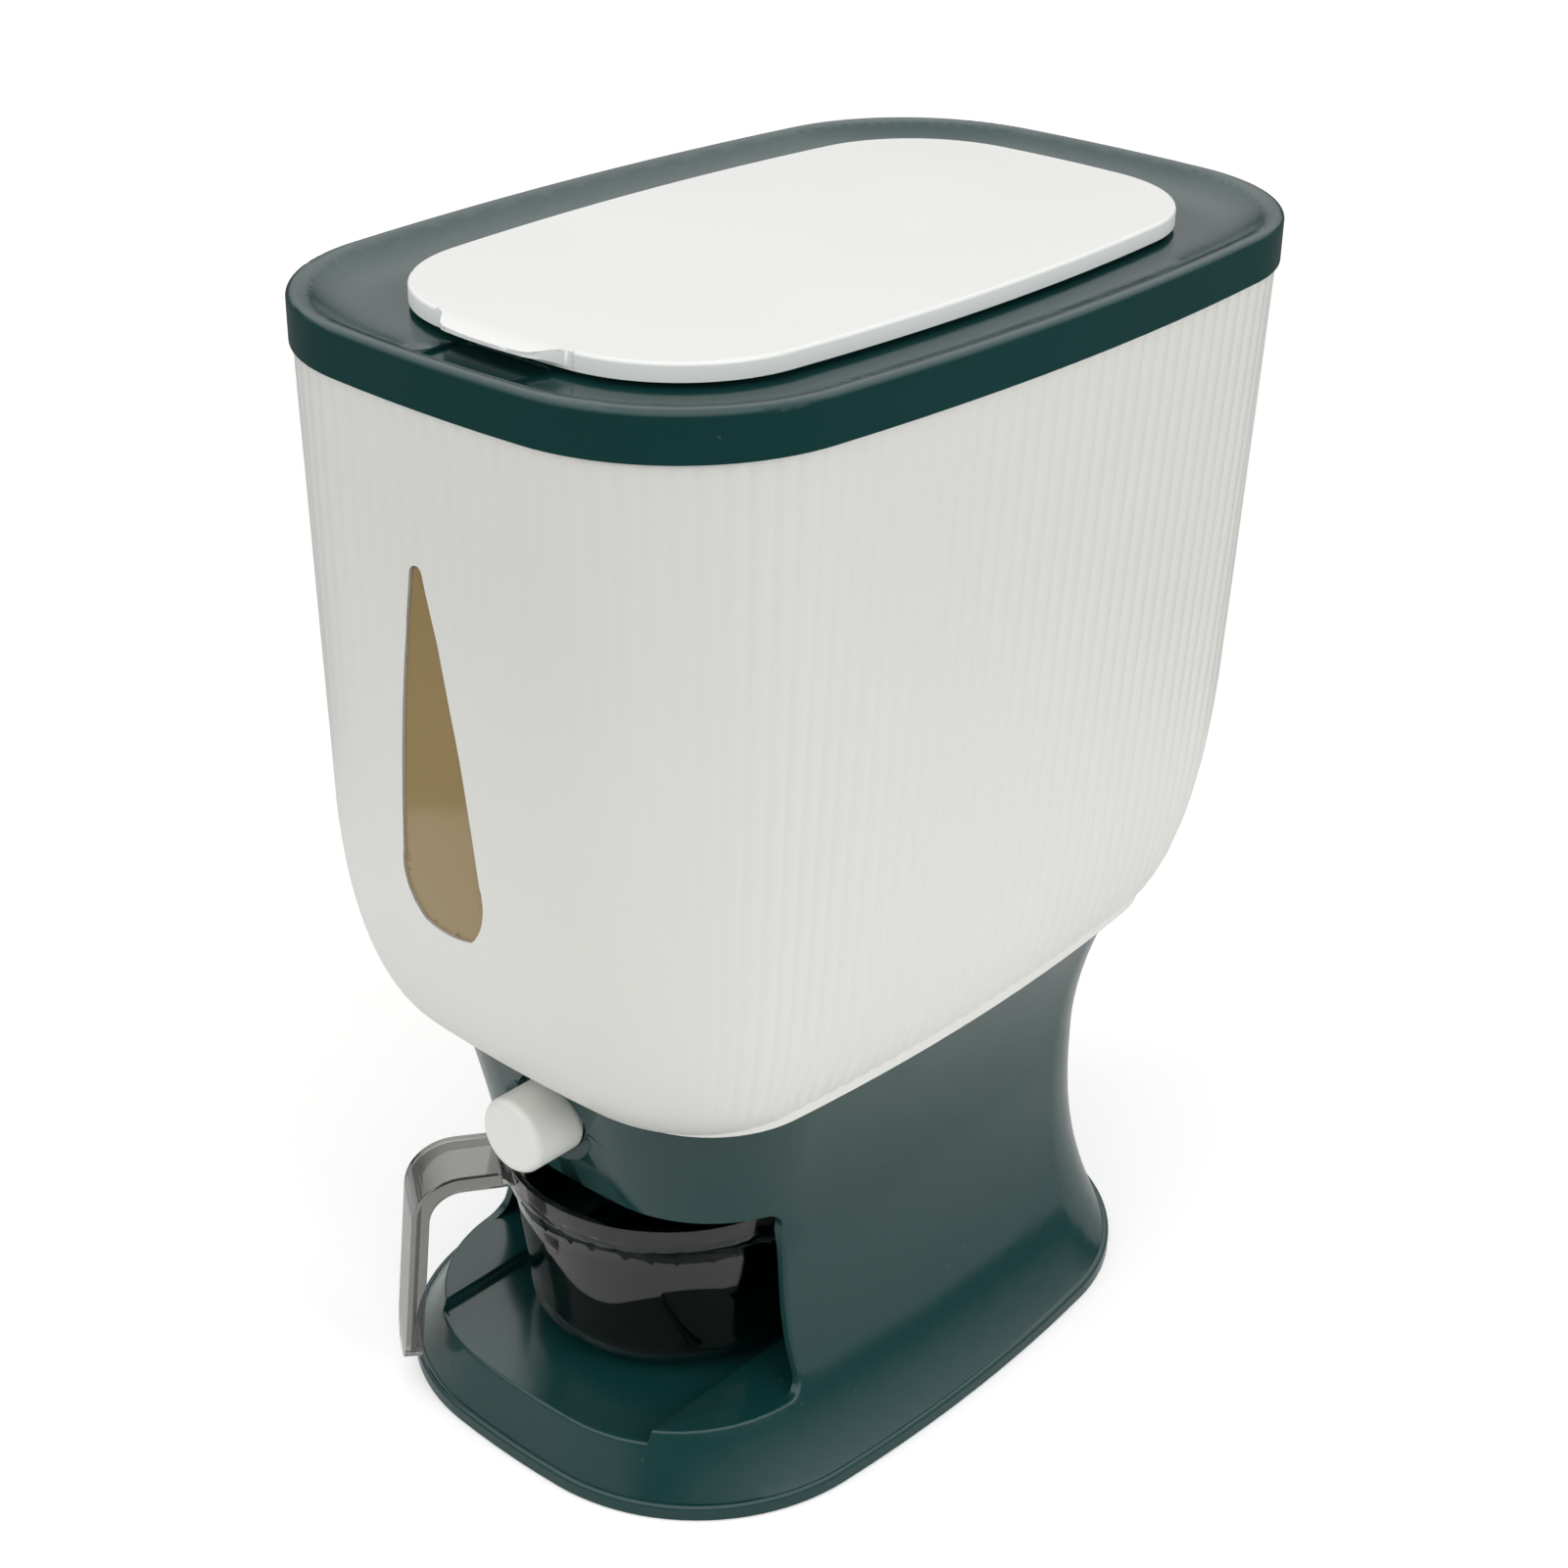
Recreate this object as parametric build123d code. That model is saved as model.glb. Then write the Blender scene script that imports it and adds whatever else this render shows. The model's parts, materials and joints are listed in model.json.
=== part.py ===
from build123d import *
import math
import os

# A countertop rice dispenser in millimetres. It stands on z = 0, faces -y and is centred on x = 0.
# Half sizes run across (x) and from front to back (y).

# Shape shared by every plan outline: how far its nearly straight sides turn, in degrees
front_turn = 4.0
side_turn = 6.0

# Clearances
fit_gap = 0.3
overcut = 1.0
running_gap = 0.06
pin_gap = 0.02

# Stand: foot, flared column, cup bay and neck
foot_half_x = 104.0
foot_front = -156.3
foot_back = 132.0
foot_bottom = 0.8
foot_top = 6.5
foot_ledge = 2.2
foot_round = 1.8
stand_flat = 24.0
stand_wall = 3.0
waist_level = 95.0
waist_half_x = 74.7
waist_front = -119.2
waist_back = 116.5
neck_flare = 2.0
neck_front_flare = 1.1
foot_flare = 3.4
foot_front_flare = 0.8
foot_back_flare = 2.0
foot_sections = 7
foot_section_crowding = 1.5
neck_sections = 4
neck_half_x = 85.5
neck_half_y = 133.0
neck_top = 155.0
neck_round = 0.8
deck_low = 105.0
deck_high = 108.0
bay_wall = 3.5
bay_front = -84.0
bay_back = -5.0
bay_corner = 7.0
tray_floor = 25.5
tray_plate = 2.5
shelf_floor = 30.0
channel_half = 54.0
tray_round = 1.5

# Rubber pads under the foot
pad_radius = 8.0
pad_high = 2.6
pad_x = 76.0
pad_front = -112.0
pad_back = 88.0
pad_boss_wall = 2.3
pad_boss_high = 20.0

# Tub
tub_half_x = 109.5
tub_half_y = 170.5
tub_flat = 41.0
tub_wall = 2.6
tub_foot = 155.0
tub_taper_x = 0.058
tub_taper_y = 0.004
end_round_high = 95.0
end_round_deep = 40.0
side_round_high = 60.0
side_round_deep = 12.4
round_section_step = 12
spigot_gap = 0.5
spigot_high = 3.0

# Teardrop window in the front of the tub
window_low = 224.4
window_high = 353.0
window_wide_level = 250.0
window_half = 18.1
window_bottom_half = 11.0
window_tip_half = 3.0
window_low_x = -2.5
window_tip_x = -7.0
window_bottom_bow = 1.8
window_corner_high = 8.0
window_corner_in = 2.2
window_sink = 0.8
window_flange = 5.0
window_flange_thick = 1.6

# Top cover with its dish and fill hole
rim_side_overhang = 1.8
rim_end_overhang = 1.5
rim_half_x = tub_half_x + rim_side_overhang
rim_half_y = tub_half_y + rim_end_overhang
rim_flat = 42.0
cover_top = 420.0
cover_skirt = 16.0
cover_wall = 2.3
cover_plate = 2.6
cover_edge = 2.5
dish_floor = 413.0
dish_lip = 4.5
dish_wide = 27.0
dish_curve = 2.6
dish_sections = 4
dish_overcut = 0.05
lid_side_margin = 32.3
lid_end_margin = 33.0
lid_half_x = rim_half_x - lid_side_margin
lid_half_y = rim_half_y - lid_end_margin
recess_half = 20.0
recess_rim = 9.0
recess_under_lid = 4.0
recess_front = recess_rim - rim_half_y
recess_back = recess_under_lid - lid_half_y
recess_floor = 411.8
recess_corner = 5.0
lid_overlap = 13.0
hole_half_x = lid_half_x - lid_overlap
hole_half_y = lid_half_y - lid_overlap
hole_flat = 22.0
collar_wall = 3.0
collar_top = 415.0

# Lid, its seal and its hinge
lid_flat = 28.0
lid_top = 421.0
lid_edge_high = 6.0
lid_skin = 2.2
lid_round = 1.2
plug_gap = 1.5
plug_wall = 2.0
plug_low = 408.0
lip_half = 22.5
lip_reach = 8.0
lip_drop = 1.4
lip_thick = 1.2
lip_blend = 14.0
lip_bow = 0.8
lip_scoop = 0.8
hinge_inset = 1.5
hinge_y = lid_half_y - hinge_inset
hinge_z = 415.8
hinge_pin_radius = 1.1
knuckle_radius = 2.4
lug_radius = 2.2
lug_inner = 18.0
lug_outer = 26.0
lug_gap = 0.4
lug_notch = 4.0
knuckle_outer = 32.0

# Funnel floor inside the tub
outlet_y = -69.5
outlet_half_x = 26.0
outlet_half_y = 6.5
funnel_low = 160.0
funnel_high = 140.0
funnel_plate = 2.4
front_slope = 32.0
back_slope = 28.0
side_slope = 40.0
throat_wall = 2.0
throat_low = 146.0

# Push button, gate and valve
button_radius = 14.0
button_z = 136.0
button_front = -149.0
button_long = 22.0
button_wall = 2.0
button_face = 3.0
button_round = 3.5
button_travel = 14.0
button_boss_radius = 6.2
button_boss_long = 9.0
socket_radius = 16.5
socket_floor = -126.5
sleeve_wall = 2.0
sleeve_long = 5.0
sleeve_top = 151.5
gate_thick = 3.0
gate_half_x = 30.0
gate_front = -104.0
gate_back = -56.0
tongue_half = 4.0
valve_front = -108.0
valve_back = -36.0
valve_half_x = 46.0
valve_end_wall = 3.0
valve_floor = 3.6
valve_lid = 3.0
valve_collar_wall = 2.0
valve_collar_high = 6.0
spout_low = 104.0
spring_inner = 7.0
spring_outer = 8.0
spring_disc_radius = 10.0
spring_disc_long = 3.0

# Screws
screw_radius = 1.4
screw_head_radius = 3.0
screw_head_high = 2.0
screw_hole_radius = 1.8
valve_screw_x = 42.0
valve_screw_front = -103.0
valve_screw_back = -42.0
valve_screw_long = 22.0
post_radius = 4.2
tub_screw_front = (54.0, -80.0)
tub_screw_back = (48.0, 80.0)
tub_screw_long = 20.0
tub_screw_room = 2.0
tub_boss_radius = 5.0

# Measuring cup
cup_y = -69.5
cup_low = 25.8
cup_top = 99.0
cup_rim_radius = 62.0
cup_band_radius = 60.8
cup_bowl_radius = 59.0
cup_low_radius = 53.0
cup_foot_radius = 40.0
cup_round_high = 16.0
cup_round_turn = 40.0
cup_round_out = 1.12
cup_round_up = 1.18
cup_band_low = 87.0
cup_wall = 2.2
handle_angle = 235.0
handle_wide = 26.0
handle_deep = 6.5
handle_wall = 2.0
handle_top_gap = 0.5
handle_bend_radius = 16.0
handle_bend_out = 93.0
handle_tip_out = 100.0
handle_tip_z = 15.0
handle_tip_round = 11.0
handle_tip_solid = 6.5


def outline(half_x, half_y, flat, level, middle_y=0.0):
    """Face of eight tangent arcs: four gently bulging sides and four round corners."""
    corner = half_x - flat
    start = math.radians(front_turn)
    end = math.radians(90.0 - side_turn)
    span_x = half_x - corner * (math.sin(end) - math.sin(start))
    span_y = half_y - corner * (math.cos(start) - math.cos(end))
    scale = math.sin(start) * math.cos(end) - (1 - math.sin(end)) * (1 - math.cos(start))
    front_radius = (span_x * math.cos(end) - span_y * (1 - math.sin(end))) / scale
    x1 = front_radius * math.sin(start)
    y1 = half_y - front_radius * (1 - math.cos(start))
    centre_x = x1 - corner * math.sin(start)
    centre_y = y1 - corner * math.cos(start)
    half_way = (start + end) / 2
    xm = centre_x + corner * math.sin(half_way)
    ym = centre_y + corner * math.cos(half_way)
    x2 = centre_x + corner * math.sin(end)
    y2 = centre_y + corner * math.cos(end)
    arcs = [
        ThreePointArc((-x1, y1), (0, half_y), (x1, y1)),
        ThreePointArc((x1, y1), (xm, ym), (x2, y2)),
        ThreePointArc((x2, y2), (half_x, 0), (x2, -y2)),
        ThreePointArc((x2, -y2), (xm, -ym), (x1, -y1)),
        ThreePointArc((x1, -y1), (0, -half_y), (-x1, -y1)),
        ThreePointArc((-x1, -y1), (-xm, -ym), (-x2, -y2)),
        ThreePointArc((-x2, -y2), (-half_x, 0), (-x2, y2)),
        ThreePointArc((-x2, y2), (-xm, ym), (-x1, y1)),
    ]
    return Pos(0, middle_y, level) * make_face(arcs)


def prism(half_x, half_y, flat, low, high, middle_y=0.0):
    """Upright block on a plan outline between two levels."""
    return extrude(outline(half_x, half_y, flat, low, middle_y), amount=high - low, dir=(0, 0, 1))


def block(x_low, x_high, y_low, y_high, z_low, z_high):
    """Plain box between opposite corners."""
    centre = Pos((x_low + x_high) / 2, (y_low + y_high) / 2, (z_low + z_high) / 2)
    return centre * Box(x_high - x_low, y_high - y_low, z_high - z_low)


def upright(x, y, radius, low, high):
    """Round bar along z."""
    return Pos(x, y, (low + high) / 2) * Cylinder(radius, high - low)


def along_y(radius, y_low, y_high, z):
    """Round bar along y, on the middle line."""
    return Pos(0, (y_low + y_high) / 2, z) * Rot(90, 0, 0) * Cylinder(radius, y_high - y_low)


def along_x(radius, x_low, x_high, y, z):
    """Round bar along x."""
    return Pos((x_low + x_high) / 2, y, z) * Rot(0, 90, 0) * Cylinder(radius, x_high - x_low)


def corners(x, y_front, y_back):
    """The four places of a fastener or pad, mirrored across the middle."""
    return [(side * x, y) for side in (-1, 1) for y in (y_front, y_back)]


def flare(waist, end, share, power):
    """Place of a wall that swings out from the waist to one end of the stand."""
    return waist + (end - waist) * share ** power


def stand_section(level, inset):
    """Plan outline of the stand at a level, drawn in by an inset."""
    if level > waist_level:
        share = (level - waist_level) / (neck_top - waist_level)
        half_x = flare(waist_half_x, neck_half_x, share, neck_flare)
        front = flare(waist_front, -neck_half_y, share, neck_front_flare)
        back = flare(waist_back, neck_half_y, share, neck_flare)
    else:
        share = (waist_level - level) / (waist_level - foot_top)
        half_x = flare(waist_half_x, foot_half_x - foot_ledge, share, foot_flare)
        front = flare(waist_front, foot_front + foot_ledge, share, foot_front_flare)
        back = flare(waist_back, foot_back - foot_ledge, share, foot_back_flare)
    half_y = (back - front) / 2
    return outline(half_x - inset, half_y - inset, stand_flat, level, (back + front) / 2)


def stand_loft(inset):
    """Solid column of the stand: one loft up to the waist and one on to the neck."""
    low_shares = [(k / foot_sections) ** foot_section_crowding for k in range(foot_sections + 1)]
    high_shares = [k / neck_sections for k in range(neck_sections + 1)]
    low = [foot_top + (waist_level - foot_top) * share for share in low_shares]
    high = [waist_level + (neck_top - waist_level) * share for share in high_shares]
    column = loft([stand_section(level, inset) for level in low])
    return column + loft([stand_section(level, inset) for level in high])


def foot_prism(inset, low, high):
    """Upright skirt of the foot."""
    half_y = (foot_back - foot_front) / 2
    middle = (foot_back + foot_front) / 2
    return prism(foot_half_x - inset, half_y - inset, stand_flat, low, high, middle)


def bay_space():
    """Everything that is cut away for the cup: the open front, the tray's channel and the bay."""
    far = foot_front - foot_half_x
    mouth = block(-foot_half_x, foot_half_x, far, bay_front, shelf_floor, deck_low)
    mouth = fillet(mouth.edges().filter_by(Axis.X).group_by(Axis.Y)[-1], bay_corner)
    inside = stand_loft(bay_wall) & block(
        -foot_half_x, foot_half_x, bay_front - bay_corner, bay_back, shelf_floor, deck_low
    )
    channel = block(-channel_half, channel_half, far, bay_back, tray_floor, deck_low - stand_wall)
    return mouth + inside + (channel & block(-foot_half_x, foot_half_x, far, bay_back, 0, shelf_floor))


def stand_hollow():
    """Open underside: low under the tray, and up to the deck behind the bay."""
    inside = stand_loft(stand_wall) + foot_prism(stand_wall + foot_ledge, 0, foot_top)
    far = 2 * foot_half_x
    under_tray = block(-far, far, -far, far, 0, tray_floor - tray_plate)
    behind_bay = block(-far, far, bay_back + bay_wall, far, 0, deck_low)
    return inside & (under_tray + behind_bay)


def make_base_stand():
    """Flared stand with the cup bay in front, a deck over it and an open neck on top."""
    foot = foot_prism(0, foot_bottom, foot_top)
    outside = stand_loft(0) + fillet(foot.faces().sort_by(Axis.Z)[-1].edges(), foot_round)
    far = 2 * foot_half_x
    neck_space = stand_loft(stand_wall) & block(-far, far, -far, far, deck_high, neck_top + overcut)
    body = outside - neck_space - bay_space() - stand_hollow()
    for x, y in corners(pad_x, pad_front, pad_back):
        boss = upright(x, y, pad_radius + pad_boss_wall, foot_bottom, pad_boss_high)
        body += boss & outside
        body -= upright(x, y, pad_radius + fit_gap, 0, pad_high + fit_gap)
    valve_seat = button_z - gate_thick / 2 - fit_gap - valve_floor
    for x, y in corners(valve_screw_x, valve_screw_front, valve_screw_back):
        body += upright(x, y, post_radius, deck_high, valve_seat)
        body -= upright(x, y, screw_radius + pin_gap, valve_seat - valve_screw_long, valve_seat)
    for place in (tub_screw_front, tub_screw_back):
        for side in (-1, 1):
            hole_low = deck_low - overcut
            body -= upright(side * place[0], place[1], screw_hole_radius, hole_low, deck_high + overcut)
    body -= along_y(socket_radius, button_front, socket_floor, button_z)
    sleeve_back = socket_floor + sleeve_long
    sleeve = along_y(socket_radius + sleeve_wall, socket_floor, sleeve_back, button_z)
    body += sleeve & block(-far, far, -far, far, deck_high, sleeve_top)
    body -= along_y(button_radius + fit_gap, button_front, sleeve_back, button_z)
    spout_x = outlet_half_x + throat_wall + fit_gap
    spout_y = outlet_half_y + throat_wall + fit_gap
    spout_front = outlet_y - spout_y
    spout_back = outlet_y + spout_y
    body -= block(-spout_x, spout_x, spout_front, spout_back, deck_low - overcut, deck_high + overcut)
    body = fillet(tray_edges(body, tray_floor) + tray_edges(body, shelf_floor), tray_round)
    return fillet(body.faces().sort_by(Axis.Z)[-1].edges(), neck_round)


def tray_edges(body, level):
    """Flat edges at a level along the outer side of the tray and its shelf."""
    found = []
    for edge in body.edges():
        box = edge.bounding_box()
        flat = abs(box.min.Z - level) < pin_gap and abs(box.max.Z - level) < pin_gap
        if flat and box.max.Y < bay_front - bay_corner + pin_gap:
            found.append(edge)
    return found


def make_foot_pad(x, y):
    """Round anti-slip pad pressed into the foot."""
    return upright(x, y, pad_radius, 0, pad_high)


def rounding(level, top, high, deep):
    """How far an elliptic bottom rounding has drawn in at a level."""
    share = max(0.0, (top - level) / high)
    return deep * (1 - math.sqrt(max(0.0, 1 - share * share)))


def tub_section(level, inset):
    """Plan outline of the tub at a level: drafted walls over an elliptic bottom rounding."""
    below = cover_top - cover_skirt - level
    side = rounding(level, tub_foot + side_round_high, side_round_high, side_round_deep)
    end = rounding(level, tub_foot + end_round_high, end_round_high, end_round_deep)
    half_x = tub_half_x - tub_taper_x * below - side - inset
    half_y = tub_half_y - tub_taper_y * below - end - inset
    return outline(half_x, half_y, tub_flat, level)


def tub_levels():
    """Levels of the sections round the tub's bottom, closer together near the foot."""
    round_top = tub_foot + end_round_high
    turns = reversed(range(0, 90, round_section_step))
    return [round_top - end_round_high * math.sin(math.radians(turn)) for turn in turns]


def tub_loft(inset):
    """Solid form of the tub up to the cover's skirt, drawn in by an inset."""
    levels = tub_levels()
    bottom = loft([tub_section(level, inset) for level in levels])
    skirt_low = cover_top - cover_skirt
    wall = loft([tub_section(levels[-1], inset), tub_section(skirt_low, inset)], ruled=True)
    return bottom + wall


def tub_room(gap):
    """Space inside the tub's walls and floor, drawn in by a gap."""
    return Pos(0, 0, tub_wall) * tub_loft(tub_wall + gap)


def tub_top():
    """Level of the tub's upper edge, under the cover's plate."""
    return dish_floor - cover_plate - fit_gap


def teardrop(grow):
    """Upright teardrop face on the front of the tub, wide below and slim above."""

    def at(half, level):
        share = (level - window_low) / (window_high - window_low)
        return (window_low_x + share * (window_tip_x - window_low_x) + half, level)

    side_level = (window_wide_level + window_high) / 2
    side_half = (window_half + window_tip_half) / 2 + window_tip_half / 2 + grow
    low = window_low - grow
    high = window_high + grow
    bottom_half = window_bottom_half + grow / 2
    wide = window_half + grow
    tip = window_tip_half + grow
    shoulder = high - window_tip_half - grow
    bottom_level = low + window_bottom_bow
    corner_level = low + window_corner_high
    corner_half = wide - window_corner_in
    lines = [
        ThreePointArc(at(-bottom_half, bottom_level), at(0, low), at(bottom_half, bottom_level)),
        ThreePointArc(at(tip, shoulder), at(0, high), at(-tip, shoulder)),
    ]
    for side in (-1, 1):
        corner_start = at(side * bottom_half, bottom_level)
        corner_end = at(side * wide, window_wide_level)
        lines.append(ThreePointArc(corner_start, at(side * corner_half, corner_level), corner_end))
        lines.append(ThreePointArc(corner_end, at(side * side_half, side_level), at(side * tip, shoulder)))
    return make_face(lines)


def teardrop_prism(grow):
    """Bar of teardrop section through the front wall of the tub."""
    face = Plane.XZ.offset(tub_half_y - end_round_deep) * teardrop(grow)
    return extrude(face, amount=2 * end_round_deep, dir=(0, -1, 0))


def tub_boss_places():
    """Screw bosses under the tub's floor."""
    return [(side * x, y) for x, y in (tub_screw_front, tub_screw_back) for side in (-1, 1)]


def make_hopper_tub():
    """Drafted tub with a rounded bottom, a spigot in the neck and a collar under the cover."""
    collar_low = cover_top - cover_skirt - tub_wall
    floor_low = min(tub_levels())
    body = tub_loft(0)
    inset = cover_wall + fit_gap
    body += prism(rim_half_x - inset, rim_half_y - inset, rim_flat, collar_low, tub_top())
    spigot_low = floor_low - spigot_high
    spigot_inset = stand_wall + spigot_gap
    spigot = stand_section(spigot_low, spigot_inset)
    body += extrude(spigot, amount=spigot_high + tub_wall, dir=(0, 0, 1))
    body -= extrude(stand_section(spigot_low, spigot_inset + tub_wall), amount=spigot_high, dir=(0, 0, 1))
    body -= tub_room(0)
    inset += tub_wall
    body -= prism(rim_half_x - inset, rim_half_y - inset, rim_flat, collar_low, tub_top() + overcut)
    body -= teardrop_prism(0)
    hole_x = outlet_half_x + throat_wall + fit_gap
    hole_y = outlet_half_y + throat_wall + fit_gap
    body -= block(-hole_x, hole_x, outlet_y - hole_y, outlet_y + hole_y, spigot_low, funnel_low)
    bore_top = deck_low + tub_screw_long + tub_screw_room
    for x, y in tub_boss_places():
        body += upright(x, y, tub_boss_radius, deck_high + fit_gap, floor_low + tub_wall / 2)
        body -= upright(x, y, screw_radius + pin_gap, deck_high, bore_top)
    return body


def make_sight_window():
    """Tinted pane that fills the teardrop and a flange that backs it inside the tub."""
    seat = fit_gap / 2
    pane = (tub_loft(window_sink) - tub_room(fit_gap)) & teardrop_prism(-seat)
    flange = tub_room(seat) - tub_room(seat + window_flange_thick)
    return pane + (flange & teardrop_prism(window_flange))


def funnel_space(drop):
    """Room above the funnel's four slopes, lowered by a drop."""
    spread_x = funnel_high / math.tan(math.radians(side_slope))
    front = outlet_y - outlet_half_y - funnel_high / math.tan(math.radians(front_slope))
    back = outlet_y + outlet_half_y + funnel_high / math.tan(math.radians(back_slope))
    low = Pos(0, outlet_y, funnel_low - drop) * Rectangle(2 * outlet_half_x, 2 * outlet_half_y)
    wide = Rectangle(2 * (outlet_half_x + spread_x), back - front)
    return loft([low, Pos(0, (front + back) / 2, funnel_low + funnel_high - drop) * wide], ruled=True)


def make_funnel_floor():
    """Sloped floor that leads the grain to the outlet, with its throat."""
    slopes = (funnel_space(funnel_plate) - funnel_space(0)) & tub_room(fit_gap)
    throat_x = outlet_half_x + throat_wall
    throat_y = outlet_half_y + throat_wall
    throat = block(-throat_x, throat_x, outlet_y - throat_y, outlet_y + throat_y, throat_low, funnel_low)
    return slopes + throat - outlet_block(throat_low, funnel_low) - funnel_space(0)


def make_top_cover():
    """Cover with a skirt over the tub, a dished top, a finger recess, a fill hole and two hinge lugs."""
    skirt_low = cover_top - cover_skirt
    plate_low = dish_floor - cover_plate
    body = prism(rim_half_x, rim_half_y, rim_flat, skirt_low, cover_top)
    body = fillet(body.faces().sort_by(Axis.Z)[-1].edges(), cover_edge)
    body -= prism(rim_half_x - cover_wall, rim_half_y - cover_wall, rim_flat, skirt_low, plate_low)
    depth = cover_top - dish_floor
    dish = []
    for section in range(dish_sections + 1):
        share = section / dish_sections
        inset = dish_lip + (dish_wide - dish_lip) * (1 - share)
        level = dish_floor + (depth + dish_overcut) * share ** dish_curve
        dish.append(outline(rim_half_x - inset, rim_half_y - inset, rim_flat - dish_lip, level))
    body -= loft(dish)
    recess = block(-recess_half, recess_half, recess_front, recess_back, recess_floor, cover_top)
    body -= fillet(recess.edges().filter_by(Axis.Z), recess_corner)
    body += prism(hole_half_x + collar_wall, hole_half_y + collar_wall, hole_flat, plate_low, collar_top)
    body -= prism(hole_half_x, hole_half_y, hole_flat, plate_low - overcut, collar_top + overcut)
    for side in (-1, 1):
        x_low, x_high = sorted((side * lug_inner, side * lug_outer))
        lug_low = dish_floor - overcut
        body += block(x_low, x_high, hinge_y - lug_radius, hinge_y + lug_radius, lug_low, hinge_z)
        body += along_x(lug_radius, x_low, x_high, hinge_y, hinge_z)
    body -= along_x(hinge_pin_radius + pin_gap, -lug_outer, lug_outer, hinge_y, hinge_z)
    return body


def lid_underside():
    """Level of the underside of the lid's skin."""
    return lid_top - lid_skin


def make_lid():
    """Shallow lid with a plug ring below, a finger lip in front and knuckles at the back."""
    body = prism(lid_half_x, lid_half_y, lid_flat, lid_top - lid_edge_high, lid_top)
    body = fillet(body.faces().sort_by(Axis.Z)[-1].edges(), lid_round)
    under = lid_underside()
    low = lid_top - lid_edge_high
    body -= prism(lid_half_x - lid_skin, lid_half_y - lid_skin, lid_flat, low - overcut, under)
    plug_x = hole_half_x - plug_gap
    plug_y = hole_half_y - plug_gap
    plug = prism(plug_x, plug_y, hole_flat, plug_low, under)
    body += plug - prism(plug_x - plug_wall, plug_y - plug_wall, hole_flat, plug_low, under)
    body += finger_lip()
    body += block(
        -knuckle_outer, knuckle_outer, hinge_y - knuckle_radius, lid_half_y - lid_skin, hinge_z, under
    )
    body += along_x(knuckle_radius, -knuckle_outer, knuckle_outer, hinge_y, hinge_z)
    for side in (-1, 1):
        x_low, x_high = sorted((side * (lug_inner - lug_gap), side * (lug_outer + lug_gap)))
        body -= block(x_low, x_high, hinge_y - lug_notch, hinge_y + lug_notch, dish_floor, under)
    bore = knuckle_outer + overcut
    return body - along_x(hinge_pin_radius + running_gap, -bore, bore, hinge_y, hinge_z)


def finger_lip():
    """Drooping lip that flows out of the middle of the lid's front edge and is scooped below."""
    root = -lid_half_y + lid_skin
    tip = -lid_half_y - lip_reach
    low = lid_top - lid_edge_high
    tip_top = lid_top - lip_drop
    tip_low = tip_top - lip_thick
    crest = -lid_half_y + lid_round
    profile = [
        Line((root, low), (root, lid_top)),
        Line((root, lid_top), (crest, lid_top)),
        TangentArc((crest, lid_top), (tip, tip_top), tangent=(-1, 0)),
        Line((tip, tip_top), (tip, tip_low)),
        ThreePointArc((tip, tip_low), ((root + tip) / 2, (low + tip_low) / 2 + lip_scoop), (root, low)),
    ]
    wide = lip_half + lip_blend / 2
    edge = lip_half - lip_blend / 2
    corner = tip + lip_bow
    plan = [
        Line((-wide, root), (wide, root)),
        ThreePointArc((-edge, corner), (0, tip), (edge, corner)),
    ]
    for side in (-1, 1):
        shoulder = (side * wide, -lid_half_y + lip_bow)
        plan.append(Line((side * wide, root), shoulder))
        plan.append(Spline(shoulder, (side * edge, corner), tangents=((-side, 0), (-side, 0))))
    bar = extrude(Plane.YZ * make_face(profile), amount=wide, both=True)
    return bar & extrude(Pos(0, 0, low) * make_face(plan), amount=lid_edge_high)


def make_lid_seal():
    """Soft ring round the plug that closes on the cover's collar."""
    inner_x = hole_half_x - plug_gap + pin_gap
    inner_y = hole_half_y - plug_gap + pin_gap
    outer_x = hole_half_x + collar_wall
    outer_y = hole_half_y + collar_wall
    low = collar_top + fit_gap
    high = lid_underside() - pin_gap
    ring = prism(outer_x, outer_y, hole_flat, low, high)
    return ring - prism(inner_x, inner_y, hole_flat, low, high)


def make_lid_hinge_pin():
    """Steel pin through the cover's lugs and the lid's knuckles."""
    return along_x(hinge_pin_radius, -knuckle_outer, knuckle_outer, hinge_y, hinge_z)


def make_push_button():
    """Round cap with a rounded face and a slotted boss for the gate's tongue."""
    back = button_front + button_long
    cap = along_y(button_radius, button_front, back, button_z)
    cap = fillet(cap.edges().sort_by(Axis.Y)[0], button_round)
    inner = button_front + button_face
    cap -= along_y(button_radius - button_wall, inner, back, button_z)
    cap += along_y(button_boss_radius, inner, inner + button_boss_long, button_z)
    half_slot = gate_thick / 2 + pin_gap
    slot_half = tongue_half + pin_gap
    cap -= block(-slot_half, slot_half, inner, back, button_z - half_slot, button_z + half_slot)
    return cap


def make_gate_slide():
    """Sliding gate whose slot meets the outlet when the button is pressed."""
    low = button_z - gate_thick / 2
    high = button_z + gate_thick / 2
    tongue_front = button_front + button_face + pin_gap
    slot_y = outlet_y - button_travel
    plate = block(-gate_half_x, gate_half_x, gate_front, gate_back, low, high)
    plate += block(-tongue_half, tongue_half, tongue_front, gate_front, low, high)
    return plate - block(
        -outlet_half_x, outlet_half_x, slot_y - outlet_half_y, slot_y + outlet_half_y, low, high
    )


def make_return_spring():
    """Coil spring round the tongue, between the button and the valve."""
    front = button_front + button_face + pin_gap
    back = valve_front - spring_disc_long - pin_gap
    sleeve = along_y(spring_outer, front, back, button_z)
    return sleeve - along_y(spring_inner, front, back, button_z)


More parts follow.
